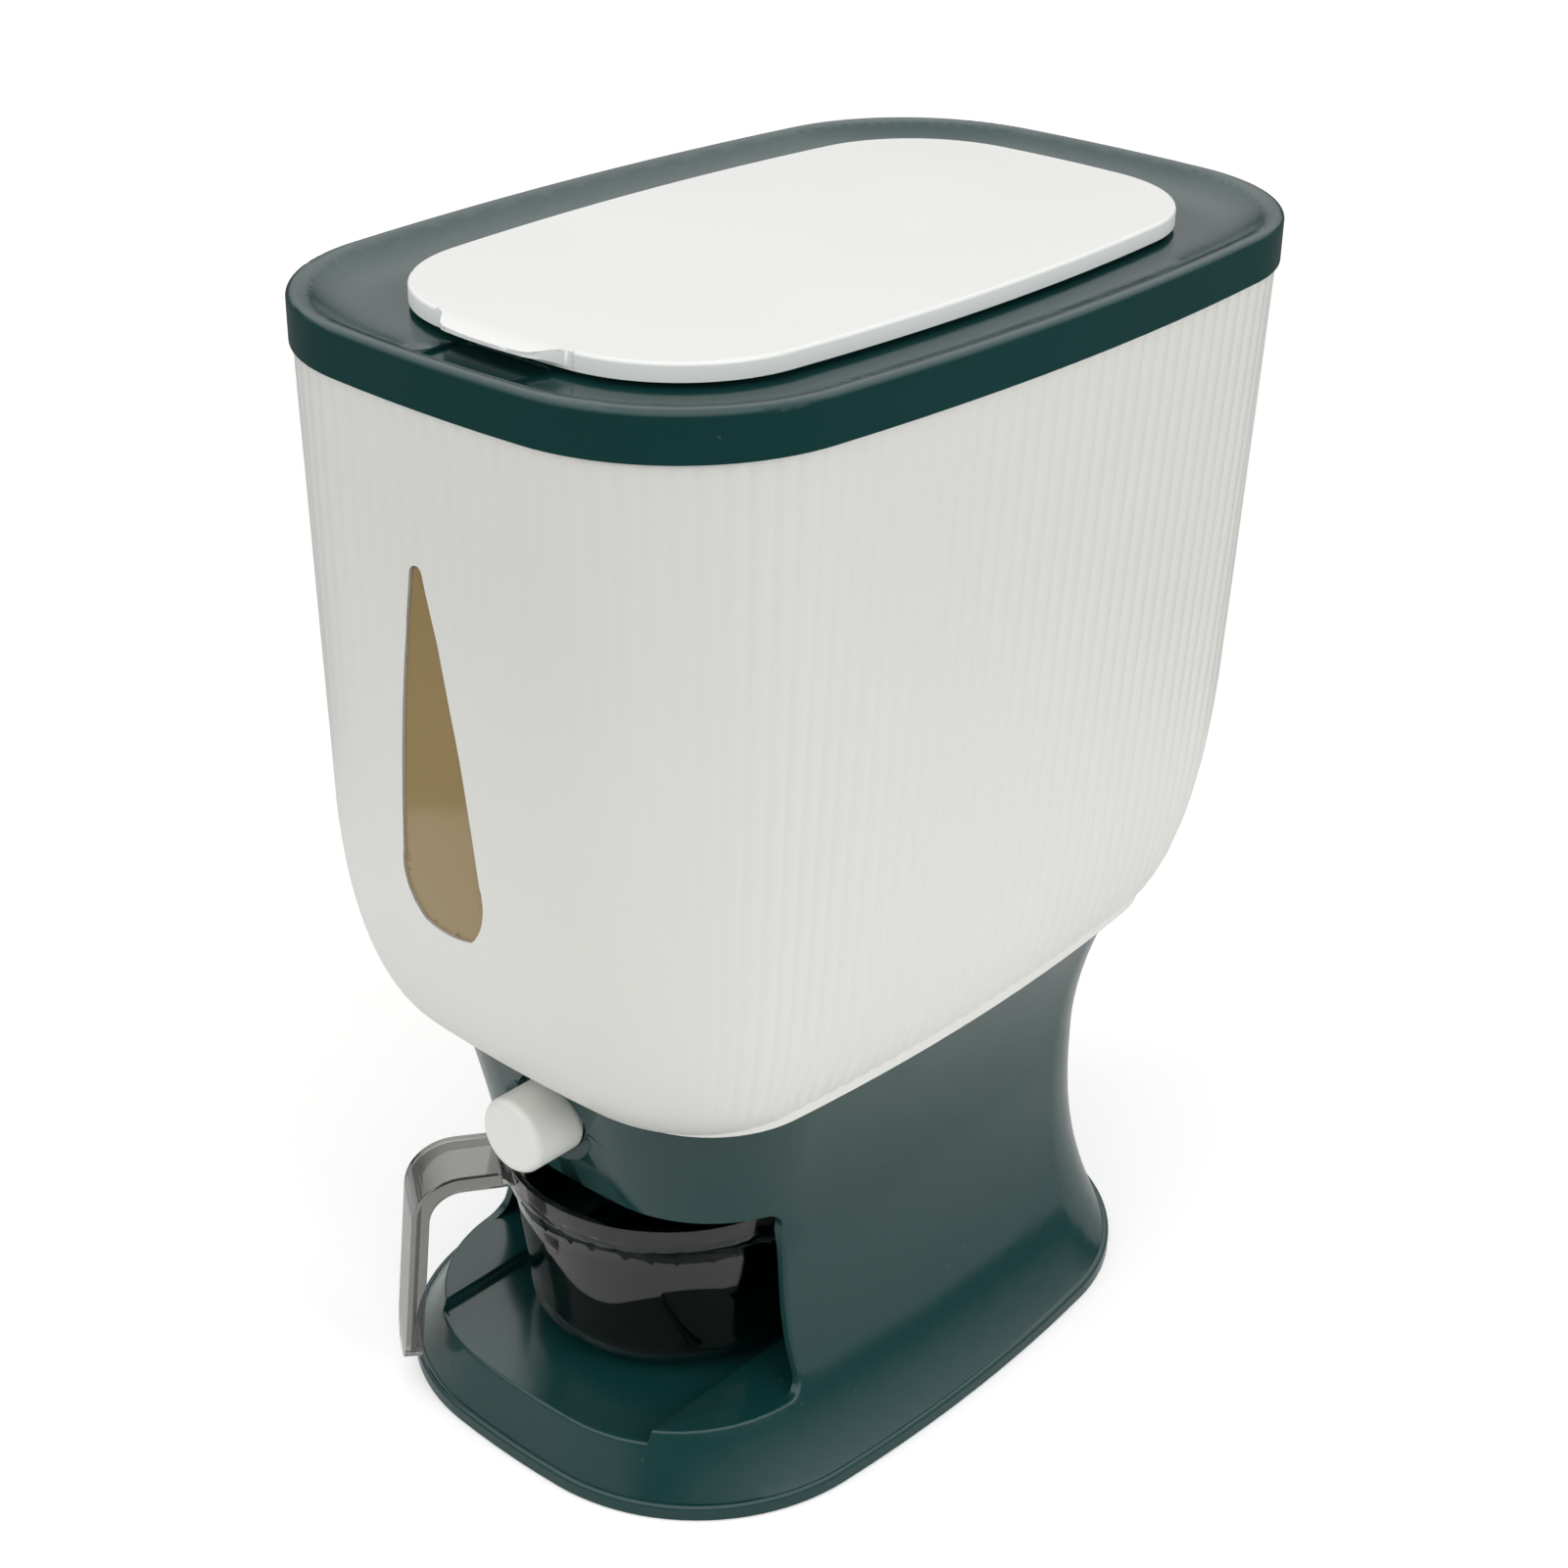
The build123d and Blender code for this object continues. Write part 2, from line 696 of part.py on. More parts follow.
def gate_channel():
    """Space that the gate slides in."""
    half = gate_thick / 2 + fit_gap
    x = gate_half_x + fit_gap
    front = valve_front + valve_end_wall
    back = valve_back - valve_end_wall
    tongue = tongue_half + fit_gap
    space = block(-x, x, front, back, button_z - half, button_z + half)
    slot_front = valve_front - spring_disc_long
    return space + block(-tongue, tongue, slot_front, front, button_z - half, button_z + half)


def make_valve_body():
    """Lower half of the valve: channel, spout through the deck and the spring's seat."""
    split = button_z + gate_thick / 2 + fit_gap
    low = button_z - gate_thick / 2 - fit_gap - valve_floor
    body = block(-valve_half_x, valve_half_x, valve_front, valve_back, low, split)
    spout_x = outlet_half_x + throat_wall
    spout_y = outlet_half_y + throat_wall
    body += block(-spout_x, spout_x, outlet_y - spout_y, outlet_y + spout_y, spout_low, low)
    body += along_y(spring_disc_radius, valve_front - spring_disc_long, valve_front, button_z)
    body -= gate_channel()
    body -= outlet_block(spout_low, split)
    for x, y in corners(valve_screw_x, valve_screw_front, valve_screw_back):
        body -= upright(x, y, screw_hole_radius, low, split)
    return body


def outlet_block(low, high):
    """Bar of the outlet's section."""
    return block(
        -outlet_half_x,
        outlet_half_x,
        outlet_y - outlet_half_y,
        outlet_y + outlet_half_y,
        low,
        high,
    )


def make_valve_cover():
    """Upper half of the valve with a collar round the funnel's throat."""
    low = button_z + gate_thick / 2 + fit_gap
    high = low + valve_lid
    body = block(-valve_half_x, valve_half_x, valve_front, valve_back, low, high)
    inner_x = outlet_half_x + throat_wall + fit_gap
    inner_y = outlet_half_y + throat_wall + fit_gap
    outer_x = inner_x + valve_collar_wall
    outer_y = inner_y + valve_collar_wall
    collar_high = high + valve_collar_high
    body += block(-outer_x, outer_x, outlet_y - outer_y, outlet_y + outer_y, high, collar_high)
    body -= block(-inner_x, inner_x, outlet_y - inner_y, outlet_y + inner_y, high, collar_high)
    body -= outlet_block(low, high)
    for x, y in corners(valve_screw_x, valve_screw_front, valve_screw_back):
        body -= upright(x, y, screw_hole_radius, low, high)
    return body


def make_throat_seal():
    """Soft ring between the funnel's throat and the valve."""
    low = button_z + gate_thick / 2 + fit_gap + valve_lid + pin_gap
    high = throat_low - pin_gap
    x = outlet_half_x + throat_wall
    y = outlet_half_y + throat_wall
    ring = block(-x, x, outlet_y - y, outlet_y + y, low, high)
    return ring - outlet_block(low, high)


def make_valve_screws():
    """Four screws that hold both halves of the valve on the deck's posts."""
    seat = button_z + gate_thick / 2 + fit_gap + valve_lid
    screws = []
    for x, y in corners(valve_screw_x, valve_screw_front, valve_screw_back):
        shank = upright(x, y, screw_radius, seat - valve_screw_long, seat)
        screws.append(shank + upright(x, y, screw_head_radius, seat, seat + screw_head_high))
    return Compound(children=screws)


def make_tub_screws():
    """Four screws from under the deck into the tub's bosses."""
    screws = []
    for x, y in tub_boss_places():
        shank = upright(x, y, screw_radius, deck_low, deck_low + tub_screw_long)
        screws.append(shank + upright(x, y, screw_head_radius, deck_low - screw_head_high, deck_low))
    return Compound(children=screws)


def cup_form(inset, lift):
    """Round form of the cup: a rounded bowl and a wider band at the rim."""
    low = cup_low + lift
    side = cup_low + cup_round_high
    foot = cup_foot_radius - inset / 2
    bowl_low = cup_low_radius - inset
    turn = math.radians(cup_round_turn)
    middle = (
        foot + (bowl_low - foot) * math.sin(turn) * cup_round_out,
        low + (side - low) * (1 - math.cos(turn)) * cup_round_up,
    )
    band = cup_band_low + lift
    top = cup_top + min(lift, overcut)
    lines = [
        Line((0, low), (foot, low)),
        ThreePointArc((foot, low), middle, (bowl_low, side)),
        Polyline(
            (bowl_low, side),
            (cup_bowl_radius - inset, band),
            (cup_band_radius - inset, band),
            (cup_rim_radius - inset, top),
            (0, top),
            (0, low),
        ),
    ]
    return Pos(0, cup_y, 0) * revolve(Plane.XZ * make_face(lines), Axis.Z)


def handle_bar(wide, drop, start, tip_z):
    """Bar of the cup's handle: out from the rim, round a bend and down to its tip."""
    level = cup_top - handle_top_gap - handle_deep / 2
    share = (level - tip_z) / (level - handle_tip_z)
    tip_out = handle_bend_out + share * (handle_tip_out - handle_bend_out)
    points = [(start, 0, level), (handle_bend_out, 0, level), (tip_out, 0, tip_z)]
    path = FilletPolyline(*points, radius=handle_bend_radius)
    section = Plane((start, 0, level), x_dir=(0, 1, 0), z_dir=(1, 0, 0)) * Pos(0, -drop)
    return sweep(section * Rectangle(wide, handle_deep), path=path)


def make_measuring_cup():
    """Measuring cup with a channel handle that is turned aside from the front."""
    shell = cup_form(0, 0)
    bar = handle_bar(handle_wide, 0, cup_band_radius - cup_wall / 2, handle_tip_z)
    tip_face = bar.faces().sort_by(Axis.Z)[0]
    bar = fillet(tip_face.edges().filter_by(Axis.Y, reverse=True), handle_tip_round)
    groove_wide = handle_wide - 2 * handle_wall
    groove_tip = handle_tip_z + handle_tip_solid
    groove = handle_bar(groove_wide, handle_wall, cup_rim_radius + handle_wall, groove_tip)
    bar = Pos(0, cup_y, 0) * Rot(0, 0, handle_angle) * (bar - groove)
    return shell + bar - cup_form(cup_wall, cup_wall)


def main():
    """Write one file for each piece."""
    os.makedirs("parts", exist_ok=True)
    pieces = {
        "base_stand": make_base_stand(),
        "hopper_tub": make_hopper_tub(),
        "funnel_floor": make_funnel_floor(),
        "sight_window": make_sight_window(),
        "top_cover": make_top_cover(),
        "lid": make_lid(),
        "lid_seal": make_lid_seal(),
        "lid_hinge_pin": make_lid_hinge_pin(),
        "push_button": make_push_button(),
        "gate_slide": make_gate_slide(),
        "return_spring": make_return_spring(),
        "valve_body": make_valve_body(),
        "valve_cover": make_valve_cover(),
        "throat_seal": make_throat_seal(),
        "valve_screws": make_valve_screws(),
        "tub_screws": make_tub_screws(),
        "measuring_cup": make_measuring_cup(),
        "foot_pad_front_left": make_foot_pad(-pad_x, pad_front),
        "foot_pad_front_right": make_foot_pad(pad_x, pad_front),
        "foot_pad_back_left": make_foot_pad(-pad_x, pad_back),
        "foot_pad_back_right": make_foot_pad(pad_x, pad_back),
    }
    for name, piece in pieces.items():
        export_step(piece, f"parts/{name}.step")
        print(name, round(piece.volume / 1000, 2), "cm3")


main()
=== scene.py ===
# %% [markdown]
# A countertop rice dispenser, dressed for a studio picture.
# The solid model comes in as a fixed frame, in metres, and every piece made here rides on one of its bodies.
# The first cell loads that frame, and a helper reads the box of any of its parts from its points.

# %% Load the frame
import json
import math

import bpy
from mathutils import Matrix, Vector

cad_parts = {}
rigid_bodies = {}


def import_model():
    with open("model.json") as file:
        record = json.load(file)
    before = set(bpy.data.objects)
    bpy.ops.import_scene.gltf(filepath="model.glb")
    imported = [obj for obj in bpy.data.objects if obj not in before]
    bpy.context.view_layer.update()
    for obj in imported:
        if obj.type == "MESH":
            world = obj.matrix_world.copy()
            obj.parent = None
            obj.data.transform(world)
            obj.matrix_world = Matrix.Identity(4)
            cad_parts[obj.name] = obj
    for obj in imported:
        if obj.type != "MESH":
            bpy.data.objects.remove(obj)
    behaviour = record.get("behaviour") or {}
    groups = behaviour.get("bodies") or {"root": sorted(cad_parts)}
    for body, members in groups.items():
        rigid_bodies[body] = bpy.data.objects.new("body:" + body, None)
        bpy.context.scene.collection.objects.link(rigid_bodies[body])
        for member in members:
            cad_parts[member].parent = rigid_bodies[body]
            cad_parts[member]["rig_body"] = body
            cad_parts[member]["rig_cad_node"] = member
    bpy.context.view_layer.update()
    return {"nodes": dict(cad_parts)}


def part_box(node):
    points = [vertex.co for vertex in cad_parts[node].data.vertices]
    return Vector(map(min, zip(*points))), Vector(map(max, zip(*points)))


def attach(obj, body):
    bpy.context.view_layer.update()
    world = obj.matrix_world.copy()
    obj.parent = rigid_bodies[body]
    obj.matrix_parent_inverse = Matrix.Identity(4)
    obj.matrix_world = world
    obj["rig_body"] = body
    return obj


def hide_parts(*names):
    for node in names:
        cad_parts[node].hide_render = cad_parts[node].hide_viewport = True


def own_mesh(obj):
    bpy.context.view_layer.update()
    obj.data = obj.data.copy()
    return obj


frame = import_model()
scene = bpy.context.scene

# %% [markdown]
# The camera stands in front and to the right, a little above the lid, and looks down on the dispenser.
# Its turn, tilt and roll were worked out from the rim, the foot and the round cup.
# The three axes of the camera are written straight into its matrix, because that leaves no doubt
# about the roll.
# The lens comes from the focal length in pixels of a picture that is as wide as the sensor.

# %% Camera
view_turn = math.radians(41.51)
view_tilt = math.radians(27.65)
view_roll = math.radians(0.89)
view_target = Vector((-0.00819, 0.0, 0.21356))
view_distance = 0.98111
sensor_width = 36.0
photo_focal = 2722.03
photo_width = 1601.0
back = Vector((
    math.sin(view_turn) * math.cos(view_tilt),
    -math.cos(view_turn) * math.cos(view_tilt),
    math.sin(view_tilt),
))
level_right = Vector((math.cos(view_turn), math.sin(view_turn), 0.0))
level_up = back.cross(level_right)
camera_x = level_right * math.cos(view_roll) + level_up * math.sin(view_roll)
camera_y = level_up * math.cos(view_roll) - level_right * math.sin(view_roll)
camera_data = bpy.data.cameras.new("photo_camera")
camera_data.sensor_width = sensor_width
camera_data.lens = sensor_width * photo_focal / photo_width
camera_data.clip_start = 0.05
camera = bpy.data.objects.new("photo_camera", camera_data)
scene.collection.objects.link(camera)
camera.matrix_world = Matrix.Translation(view_target + back * view_distance) @ Matrix((
    (camera_x.x, camera_y.x, back.x, 0.0),
    (camera_x.y, camera_y.y, back.y, 0.0),
    (camera_x.z, camera_y.z, back.z, 0.0),
    (0.0, 0.0, 0.0, 1.0),
))
scene.camera = camera
scene.view_settings.view_transform = "Standard"
print("camera at", [round(v, 3) for v in camera.location], "lens", round(camera_data.lens, 2))

# %% [markdown]
# Materials are built from small node networks. The first helper makes a material with a Principled shader.
# The others add a node, fill its inputs, link two sockets by name and open a node group.
# They keep the recipes below short.

# %% Material helpers
def new_finish(name):
    """Material with a Principled shader, and its node tree."""
    finish = bpy.data.materials.new(name)
    finish.use_nodes = True
    return finish, finish.node_tree, finish.node_tree.nodes["Principled BSDF"]


def add_node(tree, kind, **settings):
    """Node of a kind, with its settings."""
    node = tree.nodes.new(kind)
    for key, value in settings.items():
        setattr(node, key, value)
    return node


def fill(node, values):
    """Values of a node's inputs, by socket."""
    for key, value in values.items():
        node.inputs[key].default_value = value


def wire(tree, source, output, target, entry):
    """Link between two named sockets."""
    tree.links.new(source.outputs[output], target.inputs[entry])


def open_group(name, inputs, outputs):
    """Shader group with float inputs (name: default) and outputs (name: socket type)."""
    group = bpy.data.node_groups.new(name, "ShaderNodeTree")
    group.interface.new_socket("Vector", in_out="INPUT", socket_type="NodeSocketVector")
    for key, default in inputs.items():
        socket = group.interface.new_socket(key, in_out="INPUT", socket_type="NodeSocketFloat")
        socket.default_value = default
    for key, kind in outputs.items():
        group.interface.new_socket(key, in_out="OUTPUT", socket_type=kind)
    return group, add_node(group, "NodeGroupInput"), add_node(group, "NodeGroupOutput")


print("material helpers ready")

# %% [markdown]
# Injection-moulded plastic is never perfectly even. It has a very fine grain from the mould's steel,
# broad soft waves where the wall has shrunk a little, and a few specks of dust that settle on it.
# The same three effects serve every plastic on this dispenser, so they live in one node group.

# %% Moulded plastic group
moulded, moulded_in, moulded_out = open_group(
    "moulded_plastic",
    {"Grain Size": 900.0, "Grain": 0.3, "Waves": 0.5, "Specks": 0.2},
    {"Height": "NodeSocketFloat", "Shade": "NodeSocketFloat", "Dust": "NodeSocketFloat"},
)
grain = add_node(moulded, "ShaderNodeTexNoise")
fill(grain, {"Detail": 2.0})
wire(moulded, moulded_in, "Vector", grain, "Vector")
wire(moulded, moulded_in, "Grain Size", grain, "Scale")
waves = add_node(moulded, "ShaderNodeTexNoise")
fill(waves, {"Scale": 14.0, "Detail": 1.0})
wire(moulded, moulded_in, "Vector", waves, "Vector")
grain_part = add_node(moulded, "ShaderNodeMath", operation="MULTIPLY")
wire(moulded, grain, "Fac", grain_part, 0)
wire(moulded, moulded_in, "Grain", grain_part, 1)
waves_part = add_node(moulded, "ShaderNodeMath", operation="MULTIPLY_ADD")
wire(moulded, waves, "Fac", waves_part, 0)
wire(moulded, moulded_in, "Waves", waves_part, 1)
wire(moulded, grain_part, "Value", waves_part, 2)
wire(moulded, waves_part, "Value", moulded_out, "Height")
wire(moulded, waves, "Fac", moulded_out, "Shade")
specks = add_node(moulded, "ShaderNodeTexVoronoi")
fill(specks, {"Scale": 70.0})
wire(moulded, moulded_in, "Vector", specks, "Vector")
speck_edge = add_node(moulded, "ShaderNodeMapRange")
fill(speck_edge, {"From Min": 0.02, "From Max": 0.045, "To Min": 1.0, "To Max": 0.0})
wire(moulded, specks, "Distance", speck_edge, "Value")
speck_share = add_node(moulded, "ShaderNodeMath", operation="MULTIPLY")
wire(moulded, speck_edge, "Result", speck_share, 0)
wire(moulded, moulded_in, "Specks", speck_share, 1)
wire(moulded, speck_share, "Value", moulded_out, "Dust")
print("group", moulded.name, "with", len(moulded.nodes), "nodes")

# %% [markdown]
# A finish is then the group, two close shades of one colour, a roughness that drifts a little and a faint bump.
# The dark green parts are glossy, the tub and the button are satin white, and the lid is whiter and more matt.

# %% Plastic finishes
relief_depth = 0.0006
gloss_drift = 0.15
dust_colour = (0.55, 0.55, 0.53, 1.0)


def plastic(
    name, shade_a, shade_b, roughness, bump, grain_size, grain_share, wave_share, dust_share, shine=0.5
):
    """Opaque moulded plastic in two close shades."""
    finish, tree, shader = new_finish(name)
    fill(shader, {"Specular IOR Level": shine})
    place = add_node(tree, "ShaderNodeTexCoord")
    skin = add_node(tree, "ShaderNodeGroup", node_tree=moulded)
    fill(skin, {"Grain Size": grain_size, "Grain": grain_share, "Waves": wave_share, "Specks": dust_share})
    wire(tree, place, "Object", skin, "Vector")
    shades = add_node(tree, "ShaderNodeMix", data_type="RGBA")
    fill(shades, {"A": (*shade_a, 1.0), "B": (*shade_b, 1.0)})
    wire(tree, skin, "Shade", shades, "Factor")
    dusty = add_node(tree, "ShaderNodeMix", data_type="RGBA")
    fill(dusty, {"B": dust_colour})
    wire(tree, shades, "Result", dusty, "A")
    wire(tree, skin, "Dust", dusty, "Factor")
    wire(tree, dusty, "Result", shader, "Base Color")
    gloss = add_node(tree, "ShaderNodeMapRange")
    fill(gloss, {"To Min": roughness * (1.0 - gloss_drift), "To Max": roughness * (1.0 + gloss_drift)})
    wire(tree, skin, "Shade", gloss, "Value")
    wire(tree, gloss, "Result", shader, "Roughness")
    relief = add_node(tree, "ShaderNodeBump")
    fill(relief, {"Strength": bump, "Distance": relief_depth})
    wire(tree, skin, "Height", relief, "Height")
    wire(tree, relief, "Normal", shader, "Normal")
    return finish


green_gloss = plastic(
    "green_gloss", (0.0042, 0.034, 0.033), (0.0058, 0.041, 0.039),
    roughness=0.17, bump=0.05, grain_size=1500, grain_share=0.05, wave_share=1.0, dust_share=0.06, shine=0.38,
)
white_satin = plastic(
    "white_satin", (0.70, 0.70, 0.665), (0.72, 0.72, 0.69),
    roughness=0.36, bump=0.08, grain_size=1400, grain_share=0.3, wave_share=0.6, dust_share=0.03,
)
white_lid = plastic(
    "white_lid", (0.83, 0.835, 0.81), (0.845, 0.85, 0.83),
    roughness=0.42, bump=0.10, grain_size=1200, grain_share=0.4, wave_share=0.4, dust_share=0.03,
)
inner_grey = plastic(
    "inner_grey", (0.60, 0.60, 0.58), (0.64, 0.64, 0.62),
    roughness=0.5, bump=0.1, grain_size=1100, grain_share=0.4, wave_share=0.4, dust_share=0.0,
)
soft_rubber = plastic(
    "soft_rubber", (0.020, 0.020, 0.021), (0.030, 0.030, 0.031),
    roughness=0.75, bump=0.3, grain_size=1800, grain_share=0.8, wave_share=0.2, dust_share=0.1,
)
pale_silicone = plastic(
    "pale_silicone", (0.66, 0.66, 0.64), (0.72, 0.72, 0.70),
    roughness=0.55, bump=0.2, grain_size=1600, grain_share=0.6, wave_share=0.3, dust_share=0.0,
)
print("six plastics, the first is", green_gloss.name)

# %% [markdown]
# The window and the cup are clear plastics with a tint. Light takes on the tint at each surface that it passes,
# so a plain Principled shader with transmission does the work, and the group only adds faint waves.
# The window is a little milky, so part of its light is scattered at the surface and shows the tea colour.

# %% Clear finishes
clear_relief_depth = 0.0005
acrylic_ior = 1.49


def clear(name, tint_a, tint_b, roughness, bump, clearness):
    """Tinted clear plastic."""
    finish, tree, shader = new_finish(name)
    place = add_node(tree, "ShaderNodeTexCoord")
    skin = add_node(tree, "ShaderNodeGroup", node_tree=moulded)
    fill(skin, {"Grain": 0.0, "Waves": 1.0})
    wire(tree, place, "Object", skin, "Vector")
    shades = add_node(tree, "ShaderNodeMix", data_type="RGBA")
    fill(shades, {"A": (*tint_a, 1.0), "B": (*tint_b, 1.0)})
    wire(tree, skin, "Shade", shades, "Factor")
    wire(tree, shades, "Result", shader, "Base Color")
    relief = add_node(tree, "ShaderNodeBump")
    fill(relief, {"Strength": bump, "Distance": clear_relief_depth})
    wire(tree, skin, "Height", relief, "Height")
    wire(tree, relief, "Normal", shader, "Normal")
    fill(shader, {"Roughness": roughness, "Transmission Weight": clearness, "IOR": acrylic_ior})
    return finish


smoky_clear = clear(
    "smoky_clear", (0.30, 0.297, 0.285), (0.34, 0.336, 0.32), roughness=0.03, bump=0.05, clearness=1.0
)
tea_clear = clear(
    "tea_clear", (0.40, 0.29, 0.13), (0.44, 0.32, 0.15), roughness=0.08, bump=0.05, clearness=0.35
)
print("clear finishes", smoky_clear.name, "and", tea_clear.name)

# %% [markdown]
# Steel is only at the hinge pin, the screws and the spring. A fine grain from drawing makes its gloss uneven.

# %% Steel finish
steel, steel_tree, steel_shader = new_finish("drawn_steel")
steel_place = add_node(steel_tree, "ShaderNodeTexCoord")
steel_grain = add_node(steel_tree, "ShaderNodeTexNoise")
fill(steel_grain, {"Scale": 2600.0})
wire(steel_tree, steel_place, "Object", steel_grain, "Vector")
steel_gloss = add_node(steel_tree, "ShaderNodeMapRange")
fill(steel_gloss, {"To Min": 0.22, "To Max": 0.42})
wire(steel_tree, steel_grain, "Fac", steel_gloss, "Value")
wire(steel_tree, steel_gloss, "Result", steel_shader, "Roughness")
fill(steel_shader, {"Base Color": (0.56, 0.56, 0.55, 1.0), "Metallic": 1.0})
print("steel finish", steel.name)

# %% [markdown]
# The solids come in as loose triangles. For a glossy surface the triangles are copied, merged where they meet
# and shaded smooth up to an angle, so that a curved wall reflects as one surface and an edge stays an edge.
# A weighted normal modifier then lets the large faces lead, which keeps thin slivers from showing as wedges.
# The copy stands for the solid and rides on the same body.

# %% Smooth copy helpers
smooth_angle = math.radians(18.0)
merge_distance = 0.000002


def only(piece):
    """Makes one object the active and only selected one."""
    bpy.ops.object.select_all(action="DESELECT")
    piece.select_set(True)
    bpy.context.view_layer.objects.active = piece


def finish_with(piece, kind, **settings):
    """Adds a modifier to the active object, gives it its settings and applies it."""
    bpy.ops.object.modifier_add(type=kind)
    modifier = piece.modifiers[-1]
    for key, value in settings.items():
        setattr(modifier, key, value)
    bpy.ops.object.modifier_apply(modifier=modifier.name)


def smooth_copy(node, finish):
    """Merged and smoothly shaded copy of a solid, in a finish."""
    source = frame["nodes"][node]
    piece = source.copy()
    piece.data = source.data.copy()
    piece.name = node + "_look"
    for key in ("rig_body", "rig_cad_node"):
        del piece[key]
    scene.collection.objects.link(piece)
    piece.parent = None
    only(piece)
    bpy.ops.object.mode_set(mode="EDIT")
    bpy.ops.mesh.select_all(action="SELECT")
    bpy.ops.mesh.remove_doubles(threshold=merge_distance)
    bpy.ops.object.mode_set(mode="OBJECT")
    piece.data.materials.clear()
    piece.data.materials.append(finish)
    bpy.ops.object.shade_smooth_by_angle(angle=smooth_angle)
    finish_with(piece, "WEIGHTED_NORMAL", keep_sharp=True, weight=80)
    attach(piece, source["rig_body"])
    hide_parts(node)
    print(piece.name, len(piece.data.polygons), "faces")
    return piece


print("smooth up to", round(math.degrees(smooth_angle)), "degrees")

# %% [markdown]
# Every solid gets its finish from one list, the large pieces that the picture shows first.
# Most of the small pieces are hidden inside, and they get a finish all the same.

# %% Smooth copies of the solids
body_finishes = {
    "base_stand": green_gloss,
    "hopper_tub": white_satin,
    "top_cover": green_gloss,
    "lid": white_lid,
    "push_button": white_satin,
    "measuring_cup": smoky_clear,
    "sight_window": tea_clear,
    "funnel_floor": inner_grey,
    "lid_seal": pale_silicone,
    "lid_hinge_pin": steel,
    "gate_slide": inner_grey,
    "return_spring": steel,
    "valve_body": inner_grey,
    "valve_cover": inner_grey,
    "throat_seal": pale_silicone,
    "valve_screws": steel,
    "tub_screws": steel,
    "foot_pad_front_left": soft_rubber,
    "foot_pad_front_right": soft_rubber,
    "foot_pad_back_left": soft_rubber,
    "foot_pad_back_right": soft_rubber,
}
looks = {node: smooth_copy(node, finish) for node, finish in body_finishes.items()}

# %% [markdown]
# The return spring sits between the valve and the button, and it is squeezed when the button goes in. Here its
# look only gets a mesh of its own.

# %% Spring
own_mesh(looks["return_spring"])

# %% [markdown]
# The tub's wall is fluted: 128 shallow ribs run down it, with round crests and narrow valleys.
# The solid has the plain wall, so the ribs are modelled here as a thin skin that lies on it.
# The skin starts as a plane at the tub's width and length. A vertex bevel rounds its corners, the face goes,
# and the straight stretches are subdivided until each flute has six edges: 15 flutes fall on every corner,
# 9 on each end and 25 on each long side.

# %% Ring of the flutes
segments_per_flute = 6
corner_flutes = 15
end_flutes = 9
side_flutes = 25
corner_radius = 0.078
skin_clear = 0.002
straight_least = 0.03
cover_gap = 0.0002
strip_high = 0.005
flute_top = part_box("top_cover")[0][2] - cover_gap
flute_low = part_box("base_stand")[1][2] + strip_high
tub_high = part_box("hopper_tub")[1]


def select_edges(piece, wanted):
    """Selects the edges whose two ends pass a test, from object mode."""
    for item in (*piece.data.vertices, *piece.data.polygons):
        item.select = False
    for edge in piece.data.edges:
        start, end = (piece.data.vertices[index].co for index in edge.vertices)
        edge.select = wanted(start, end)


def turn_outwards():
    """Turns the active object's faces outwards, from edit mode, and goes back to object mode."""
    bpy.ops.mesh.select_all(action="SELECT")
    bpy.ops.mesh.normals_make_consistent(inside=False)
    bpy.ops.object.mode_set(mode="OBJECT")


bpy.ops.object.select_all(action="DESELECT")
bpy.ops.mesh.primitive_plane_add(size=2.0, location=(0.0, 0.0, 0.0))
flutes = bpy.context.object
flutes.name = "hopper_tub_flutes"
bpy.ops.object.mode_set(mode="EDIT")
bpy.ops.mesh.select_mode(type="EDGE")
bpy.ops.mesh.select_all(action="SELECT")
bpy.ops.transform.resize(value=(tub_high[0] + skin_clear, tub_high[1] + skin_clear, 1.0))
bpy.ops.transform.translate(value=(0.0, 0.0, flute_top))
bpy.ops.mesh.bevel(
    offset=corner_radius, segments=corner_flutes * segments_per_flute, affect="VERTICES", offset_type="OFFSET"
)
bpy.ops.mesh.select_all(action="SELECT")
bpy.ops.mesh.delete(type="ONLY_FACE")
for axis, count in ((0, end_flutes), (1, side_flutes)):
    bpy.ops.object.mode_set(mode="OBJECT")
    select_edges(flutes, lambda start, end: abs(start[axis] - end[axis]) > straight_least)
    bpy.ops.object.mode_set(mode="EDIT")
    bpy.ops.mesh.subdivide(number_cuts=1)
    bpy.ops.mesh.subdivide(number_cuts=count * segments_per_flute // 2 - 1)
bpy.ops.object.mode_set(mode="OBJECT")
ring_points = len(flutes.data.vertices)
print("ring of", ring_points, "points, from", flute_top, "down to", flute_low)

# %% [markdown]
# The window's opening will be cut through the skin along the tub's own edge.
# For that, only the faces of the teardrop's wall are kept from a copy of the tub. They are the ones within
# the window's box that look sideways, not to the front or the back.

